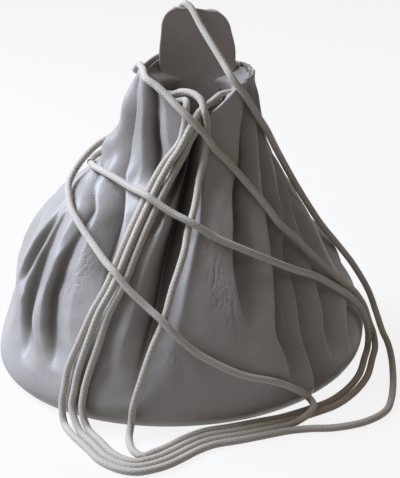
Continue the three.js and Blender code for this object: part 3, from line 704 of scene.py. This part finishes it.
# Cord B: out of the left mouth in a high arc, down the front, along the foot to the right, up across the
# front to the left, round the left shoulder, down across the front again and back to the right mouth
CORD_B_ROUTE = [
    *neck_run(UPPER_CORD_HEIGHT, (180, 205, 230, 255, 280, 302, 360 + CASING_LEFT)),
    point(-2.4, -16.4, 146.4), point(2.8, -20.6, 146.8), point(7, -26, 145), point(9, -30.8, 140.4),
    on(8.8, 134.8, 1.6), on(9.3, 130, 0.3), on(9.3, 126.5), on(7.5, 118), on(5.5, 108), on(6, 97),
    on(5.2, 87.5), on(5, 81.5), on(3, 74), on(0.5, 66.5), on(-3.5, 53), on(-7.5, 42), on(-11.5, 29),
    on(-14.5, 15), on(-15, 7, 1.2), floor(-27.2, -104.5, 0.4), floor(-26.4, -111), floor(-24, -116.8),
    floor(-20, -119.9), floor(-14.8, -116.8), floor(-9, -112.8), floor(-1.7, -106.4), floor(8.3, -100),
    floor(22.2, -95.8), floor(34.4, -91.7), floor(47, -87.5), floor(63.6, -78.6), floor(71.8, -73.2),
    floor(81.2, -62.8), floor(89.9, -47.7), floor(95.7, -29, 0.2), floor(98.6, -19, 0.8),
    on(78.5, 12, 0.8), on(77.2, 22.5), on(73, 35), on(66, 46), on(57, 57.5), on(48.5, 64.5), on(40.5, 71),
    on(29, 79), on(17, 85.2, 0.8), on(6.5, 90, OVER), on(-3, 93.5, OVER), on(-12.5, 96.7, OVER + 1.2),
    on(-17, 98.2, OVER + 1.8), on(-22, 99.7, OVER + 0.6), on(-32, 101.8, 1.6), on(-49.5, 104),
    on(-65.5, 104), on(-82, 102.4), on(-98, 100.4), on(-112, 99.5), on(-124, 101), on(-130, 106),
    on(-127, 111.5), on(-117, 114), on(-105, 112, 1.5), on(-96, 106.5, OVER + 0.4), on(-88, 99, OVER),
    on(-79, 93.2, 1.6), on(-68, 90.6), on(-57.5, 88.2), on(-46, 85.2), on(-36, 81.4), on(-28.5, 77.4, 2),
    on(-23, 73.6, OVER), on(-18.6, 70.4, OVER + 1.6), on(-13.8, 65, OVER + 0.6), on(-8, 59, OVER - 0.6),
    on(-3.3, 53.4, OVER), on(1, 46.5, 2.4), on(5.5, 40, 0.4), on(10, 35), on(17, 28.2), on(26, 22.2),
    on(31.5, 16.6, 0.8), point(60.4, -80.6, 9), point(62.4, -85.6, 7.4), point(59, -90.4, 5.4),
    floor(51.5, -94.4, 1), floor(44, -96.8, 0.1), floor(36.8, -99.2), floor(24.5, -103.3),
    floor(11.4, -107.2), floor(3, -112.7), floor(-4, -118.8), floor(-10.1, -123.6), floor(-16.2, -126.8),
    floor(-21.9, -128.3), floor(-27.4, -127.4), floor(-36.2, -121.4), floor(-43.8, -110.8, 0.1),
    floor(-51.4, -99.8, 0.6), on(-31.7, 9.5, 0.9), on(-32, 17), on(-31.5, 25), on(-27.8, 40, 0.8),
    on(-24.2, 54, 1.4), on(-20.5, 64, 1.4), on(-18.3, 72, 1.4), on(-17.4, 77, 1.4), on(-16.7, 87, 1.4),
    on(-17.2, 96, 1.4), on(-17.4, 106, 1.6), on(-14.4, 115, 2.2), on(-10.7, 120, 3), on(-7.2, 125.5, 3.5),
    on(-4.6, 130, 3.5), on(-2, 133.8, 3.4), point(5.6, -27.8, 138.8), point(9.2, -23.4, 140.6),
    point(13.4, -18.8, 142.8), *neck_run(UPPER_CORD_HEIGHT, (CASING_RIGHT, 58, 80, 105, 130, 155, 179)),
]


def smooth_route(points, step):
    """Even steps along the centripetal curve through a cord's points."""
    points = np.array(points, float)
    points = np.vstack((2 * points[0] - points[1], points, 2 * points[-1] - points[-2]))
    pieces = []
    for k in range(1, len(points) - 2):
        p0, p1, p2, p3 = points[k - 1 : k + 3]
        d0, d1, d2 = (np.sqrt(np.linalg.norm(b - a)) for a, b in ((p0, p1), (p1, p2), (p2, p3)))
        leave = ((p1 - p0) / d0 - (p2 - p0) / (d0 + d1) + (p2 - p1) / d1) * d1
        arrive = ((p2 - p1) / d1 - (p3 - p1) / (d1 + d2) + (p3 - p2) / d2) * d1
        t = np.linspace(0, 1, 24, endpoint=False)[:, None]
        start = (2 * t**3 - 3 * t**2 + 1) * p1 + (t**3 - 2 * t**2 + t) * leave
        end = (3 * t**2 - 2 * t**3) * p2 + (t**3 - t**2) * arrive
        pieces.append(start + end)
    line = np.vstack((*pieces, points[-2:-1]))
    run = np.concatenate(([0], np.cumsum(np.linalg.norm(np.diff(line, axis=0), axis=1))))
    count = max(2, round(run[-1] / step))
    even = np.linspace(0, run[-1], count + 1)
    return np.stack([np.interp(even, run, line[:, axis]) for axis in range(3)], -1), run[-1]


def cross_frames(line):
    """Two directions square to the line at each point, carried along it without twist."""
    along = np.gradient(line, axis=0)
    along /= np.linalg.norm(along, axis=1)[:, None]
    side = np.empty_like(line)
    side[0] = np.cross(along[0], (0, 0, 1))
    side[0] /= np.linalg.norm(side[0])
    for k in range(1, len(line)):
        carried = side[k - 1] - along[k] * np.dot(side[k - 1], along[k])
        side[k] = carried / np.linalg.norm(carried)
    return side, np.cross(along, side)


def braided_tube(name, route):
    """Round cord along a route, with the raised yarns of its braid and closed ends."""
    line, length = smooth_route(route, CORD_STEP)
    side, upright = cross_frames(line)
    last = len(line) - 1
    turns = np.linspace(0, round(length / BRAID_PITCH), len(line))

    def shape(across, up):
        ring = np.round(up * last).astype(int)
        turn = 2 * np.pi * across
        one = BRAID_YARNS * across + turns[ring]
        other = BRAID_YARNS * across - turns[ring]
        over = (np.floor(one) + np.floor(other)) % 2
        yarn = np.abs(np.sin(np.pi * np.where(over > 0.5, one, other)))
        radius = (CORD_RADIUS - YARN_RELIEF + YARN_RELIEF * yarn)[:, None]
        spoke = np.cos(turn)[:, None] * side[ring] + np.sin(turn)[:, None] * upright[ring]
        return line[ring] + radius * spoke

    cord = grid_mesh(name, CORD_SIDES, last, shape, closed=True)
    layer = cord.data.uv_layers["UVMap"].data
    places = np.empty(2 * len(layer))
    layer.foreach_get("uv", places)
    places[1::2] *= turns[-1]
    layer.foreach_set("uv", places)
    return cord, line, length


# Property groups


class PouchLooks(bpy.types.PropertyGroup):
    """Sizes and finishes that a maker would change."""

    sheen: FloatProperty(
        name="Sheen", description="Strength of the leather's pearl finish", default=0.3, min=0, max=1
    )
    facing_inset: FloatProperty(
        name="Facing inset",
        description="How far inside the leather the neck's facing lies",
        default=12.6 * MM,
        unit="LENGTH",
    )
    tab_thickness: FloatProperty(
        name="Tab thickness", description="Thickness of the pull tab", default=2.2 * MM, unit="LENGTH"
    )
    lining_inset: FloatProperty(
        name="Lining inset",
        description="How far inside the folds the lining hangs",
        default=2.6 * MM,
        unit="LENGTH",
    )


class PouchStage(bpy.types.PropertyGroup):
    """Light and floor of the studio."""

    window_power: FloatProperty(
        name="Window light", description="Power of the soft light on the left", default=18.5, unit="POWER"
    )
    fill_strength: FloatProperty(
        name="Fill", description="Strength of the light from all round", default=0.14, min=0, max=1
    )
    floor_colour: FloatVectorProperty(
        name="Floor", description="Colour of the floor", subtype="COLOR", size=3, default=(0.58, 0.58, 0.58)
    )


# Operators

# Camera and light of the photograph: places in metres, tilt below the level in degrees
CAMERA_PLACE = (6.6 * MM, -538.8 * MM, 297.7 * MM)
CAMERA_TILT = 23.89
CAMERA_LENS = 81.56
WINDOW_PLACE = (-0.66, 0.14, 0.74)
WINDOW_AIM = (0, 0, 0.07)
WINDOW_SIZE = 0.5
FLOOR_REACH = 6
FLOOR_WHITENESS = 0.87


class POUCH_OT_stage(bpy.types.Operator):
    """Sets up the floor, the lights, the background and the camera"""

    bl_idname = "pouch.stage"
    bl_label = "Build Stage"

    def execute(self, context):
        scene = context.scene
        stage = scene.pouch_stage
        scene.view_settings.view_transform = "Standard"
        self.add_floor(stage)
        self.add_world(scene, stage)
        self.add_window_light(stage)
        camera = bpy.data.objects.new("photo_camera", bpy.data.cameras.new("photo_camera"))
        scene.collection.objects.link(camera)
        camera.location = CAMERA_PLACE
        camera.rotation_euler = (math.radians(90 - CAMERA_TILT), 0, 0)
        camera.data.lens = CAMERA_LENS
        camera.data.clip_start = 0.01
        scene.camera = camera
        return {"FINISHED"}

    def add_floor(self, stage):
        sheet = bmesh.new()
        bmesh.ops.create_grid(sheet, x_segments=2, y_segments=2, size=FLOOR_REACH)
        ground = add_object("studio_floor", sheet)
        paint, tree = new_material("matt_studio_paint")
        path = add(tree, "ShaderNodeLightPath")
        matt = add(tree, "ShaderNodeBsdfDiffuse", Color=[*stage.floor_colour, 1])
        bright = add(tree, "ShaderNodeEmission", Strength=1.0)
        share = calc(tree, "MULTIPLY", self.seen_directly(tree, path), FLOOR_WHITENESS)
        mix = add(tree, "ShaderNodeMixShader", i0=share, i1=matt.outputs["BSDF"],
                  i2=bright.outputs["Emission"])
        add(tree, "ShaderNodeOutputMaterial", Surface=mix.outputs["Shader"])
        ground.data.materials.append(paint)

    def seen_directly(self, tree, path):
        """1 for rays from the camera and for those it sees in a gloss or through a clear surface."""
        rays = [path.outputs[f"Is {kind} Ray"] for kind in ("Camera", "Glossy", "Transmission")]
        return calc(tree, "MAXIMUM", calc(tree, "MAXIMUM", rays[0], rays[1]), rays[2])

    def add_world(self, scene, stage):
        world = bpy.data.worlds.new("studio")
        world.use_nodes = True
        scene.world = world
        tree = world.node_tree
        tree.nodes.clear()
        path = add(tree, "ShaderNodeLightPath")
        fill = add(tree, "ShaderNodeBackground", Color=linear("#ffe8d2"), Strength=stage.fill_strength)
        white = add(tree, "ShaderNodeBackground", Color=(1, 1, 1, 1), Strength=1.0)
        mix = add(tree, "ShaderNodeMixShader", i0=self.seen_directly(tree, path),
                  i1=fill.outputs["Background"], i2=white.outputs["Background"])
        add(tree, "ShaderNodeOutputWorld", Surface=mix.outputs["Shader"])

    def add_window_light(self, stage):
        lamp = bpy.data.lights.new("window_light", "AREA")
        lamp.shape = "RECTANGLE"
        lamp.size = WINDOW_SIZE
        lamp.size_y = WINDOW_SIZE
        lamp.energy = stage.window_power
        lamp.color = linear("#d9e6fb")[:3]
        window = bpy.data.objects.new("window_light", lamp)
        bpy.context.scene.collection.objects.link(window)
        window.location = WINDOW_PLACE
        aim = Vector(WINDOW_AIM) - window.location
        window.rotation_euler = aim.to_track_quat("-Z", "Y").to_euler()


class POUCH_OT_cords(bpy.types.Operator):
    """Winds the two braided drawcords round the pouch"""

    bl_idname = "pouch.cords"
    bl_label = "Wind Drawcords"

    def execute(self, context):
        for name, route in (("cord_a", CORD_A_ROUTE), ("cord_b", CORD_B_ROUTE)):
            self.wind(name, route)
        return {"FINISHED"}

    def wind(self, name, route):
        cord, line, length = braided_tube(name, route)
        nodes = [f"{name}_{part}" for part in ("neck_run", "left_strand", "bight", "right_strand")]
        body = None if name == "cord_a" else "pouch"
        finish_piece(cord, material("cord"), body, nodes)
        if name == "cord_a":
            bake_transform(cord)


class POUCH_OT_body(bpy.types.Operator):
    """Forms the two gathered leather panels"""

    bl_idname = "pouch.body"
    bl_label = "Form Leather Body"

    def execute(self, context):
        self.panel("front_leather", LEFT_SEAM, RIGHT_SEAM, 460, 176, "front_panel")
        self.panel("back_leather", RIGHT_SEAM, 360 + LEFT_SEAM, 330, 150, "back_panel")
        return {"FINISHED"}

    def panel(self, name, start, end, columns, count, node):
        rows = rows_of_leather(count)

        def place(across, up):
            bearing = start + (end - start) * across
            share, drop, extra = rows[np.round(up * (len(rows) - 1)).astype(int)].T
            low = LEVEL_SHARE * RIM_HEIGHT
            upper = low + (share - LEVEL_SHARE) / (1 - LEVEL_SHARE) * (rim_height(bearing) - low)
            height = np.where(share < LEVEL_SHARE, share * RIM_HEIGHT, upper)
            return bearing, height, drop, extra

        def shape(across, up):
            bearing, height, drop, extra = place(across, up)
            return inset(bearing, height - drop, leather_depth(bearing, height) + extra)

        # Painted shade, kept as the fold attribute: darker with a fold's depth, along the valley lines and
        # in the crease lines
        def fold(across, up):
            bearing, height = place(across, up)[:2]
            deep = smoothstep(leather_depth(bearing, height), *DARKENING_DEPTHS)
            lines = sum(crease_lines(bearing, height, patch) for patch in CREASES)
            dark = np.maximum(deep, LINE_DARKNESS * fold_line(bearing, height))
            return np.maximum(dark, CREASE_DARKNESS * lines)

        def crease(across, up):
            bearing, height = place(across, up)[:2]
            return sum(crease_patch(bearing, height, patch)[2] for patch in CREASES)

        leather = grid_mesh(name, columns, len(rows) - 1, shape, marks={"fold": fold, "crease": crease})
        finish_piece(leather, material("leather"), "pouch", [node])


# Facing inside the neck: its foot at the front and how much lower it hangs at the back, its gap below the
# rim and its inset there, and the depths below the rim between which it draws in
FACING_FOOT = 133
FACING_BACK_DROP = 21
FACING_RIM_GAP = 1.2
FACING_TOP_INSET = 2.5
FACING_DRAW_IN = (1, 9)
FACING_THICKNESS = 0.9
LINING_FOOT = 4.8
LINING_RISE = 104
LINING_THICKNESS = 0.8


class POUCH_OT_neck(bpy.types.Operator):
    """Adds the facing inside the neck and the lining, and gives the base its finishes"""

    bl_idname = "pouch.neck"
    bl_label = "Add Neck and Lining"

    def execute(self, context):
        looks = context.scene.pouch_looks
        facing_inset = looks.facing_inset / MM

        def facing(across, up):
            bearing = CASING_RIGHT + (360 + CASING_LEFT - CASING_RIGHT) * across
            rim = rim_height(bearing)
            low = FACING_FOOT - FACING_BACK_DROP * smoothstep(np.abs(bearing - 180), 130, 100)
            height = low + (rim - FACING_RIM_GAP - low) * up
            sunk = smoothstep(np.minimum(rim, RIM_HEIGHT) - height, *FACING_DRAW_IN)
            nearby = sum(leather_depth(bearing + step, rim) for step in (-4, -2, 0, 2, 4)) / 5
            distance = FACING_TOP_INSET + nearby * (1 - sunk) + (facing_inset - FACING_TOP_INSET) * sunk
            return inset(bearing, height, distance)

        strip = grid_mesh("neck_facing", 300, 40, facing)
        thicken(strip, FACING_THICKNESS * MM)
        finish_piece(strip, material("tab"), "pouch", ["neck_casing"])

        def sleeve(across, up):
            bearing = 360 * across
            height = LINING_FOOT + LINING_RISE * up
            return inset(bearing, height, leather_depth(bearing, height) + looks.lining_inset / MM)

        lining = grid_mesh("lining_sleeve", 360, 80, sleeve)
        thicken(lining, LINING_THICKNESS * MM)
        finish_piece(lining, material("lining"), "pouch", ["lining_wall"])
        for node, kind in (("base_panel", "leather"), ("base_board", "board"), ("lining_base", "lining")):
            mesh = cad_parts[node].data
            mesh.materials.clear()
            mesh.materials.append(material(kind))
        return {"FINISHED"}


# Pull tab: height of its hidden root, corner radius, half width at the root with what it gains above and
# loses again near the top, the shares of its rows below the corners and round them, how far it stands
# forward, leans and crowns, and the heights over which its top shifts to the left and slopes to the right
TAB_ROOT = 113
TAB_CORNER = 9
TAB_ROOT_HALF = 12
TAB_WIDENING = 7.7
TAB_NARROWING = 2.2
TAB_STRAIGHT_ROWS = 0.85
TAB_CORNER_ROWS = 0.15
TAB_FORWARD = 6
TAB_LEAN = 0.14
TAB_CROWN = 0.8
TAB_TOP_HEIGHTS = (160, 181)
TAB_TOP_SLOPE = 1.8


class POUCH_OT_tab(bpy.types.Operator):
    """Raises the pull tab out of the back of the neck"""

    bl_idname = "pouch.tab"
    bl_label = "Raise Pull Tab"

    def execute(self, context):
        steepest = math.radians(80)
        straight = TAB_TOP - TAB_CORNER - TAB_ROOT

        def tongue(across, up):
            turn = np.clip((up - TAB_STRAIGHT_ROWS) / TAB_CORNER_ROWS, 0, 1) * steepest
            height = TAB_ROOT + straight * np.clip(up / TAB_STRAIGHT_ROWS, 0, 1)
            height = height + TAB_CORNER * np.sin(turn) / math.sin(steepest)
            sideways = 2 * across - 1
            half = TAB_ROOT_HALF + TAB_WIDENING * smoothstep(height, 143, 151)
            half = half - TAB_NARROWING * smoothstep(height, 158, 176)
            half = half - TAB_CORNER * (1 - np.cos(turn))
            middle = TAB_SIDEWAYS - smoothstep(height, *TAB_TOP_HEIGHTS)
            back = TAB_BACK - TAB_FORWARD + TAB_LEAN * (height - RIM_HEIGHT) + TAB_CROWN * (1 - sideways**2)
            slope = TAB_TOP_SLOPE * smoothstep(sideways, 0, 1) * smoothstep(height, *TAB_TOP_HEIGHTS)
            return np.stack((middle + half * sideways, back, height - slope), -1)

        tab = grid_mesh("pull_tongue", 60, 80, tongue)
        thicken(tab, context.scene.pouch_looks.tab_thickness)
        finish_piece(tab, material("tab"), None, ["pull_tab"])
        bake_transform(tab)
        return {"FINISHED"}


class POUCH_PT_pieces(bpy.types.Panel):
    """Lists the pouch's pieces and settings"""

    bl_label = "Drawstring Pouch"
    bl_idname = "POUCH_PT_pieces"
    bl_space_type = "VIEW_3D"
    bl_region_type = "UI"
    bl_category = "Pouch"

    def draw(self, context):
        column = self.layout.column()
        for operator in OPERATORS:
            column.operator(operator.bl_idname)
        for group in (context.scene.pouch_looks, context.scene.pouch_stage):
            for name in group.bl_rna.properties.keys():
                if name not in ("rna_type", "name"):
                    column.prop(group, name)


OPERATORS = (POUCH_OT_stage, POUCH_OT_cords, POUCH_OT_body, POUCH_OT_neck, POUCH_OT_tab)
CLASSES = (PouchLooks, PouchStage, *OPERATORS, POUCH_PT_pieces)


def register():
    for cls in CLASSES:
        bpy.utils.register_class(cls)
    bpy.types.Scene.pouch_looks = PointerProperty(type=PouchLooks)
    bpy.types.Scene.pouch_stage = PointerProperty(type=PouchStage)


def unregister():
    del bpy.types.Scene.pouch_stage
    del bpy.types.Scene.pouch_looks
    for cls in reversed(CLASSES):
        bpy.utils.unregister_class(cls)


def main():
    register()
    bpy.ops.pouch.stage()
    bpy.ops.pouch.cords()
    bpy.ops.pouch.body()
    bpy.ops.pouch.neck()
    bpy.ops.pouch.tab()


if __name__ == "__main__":
    main()
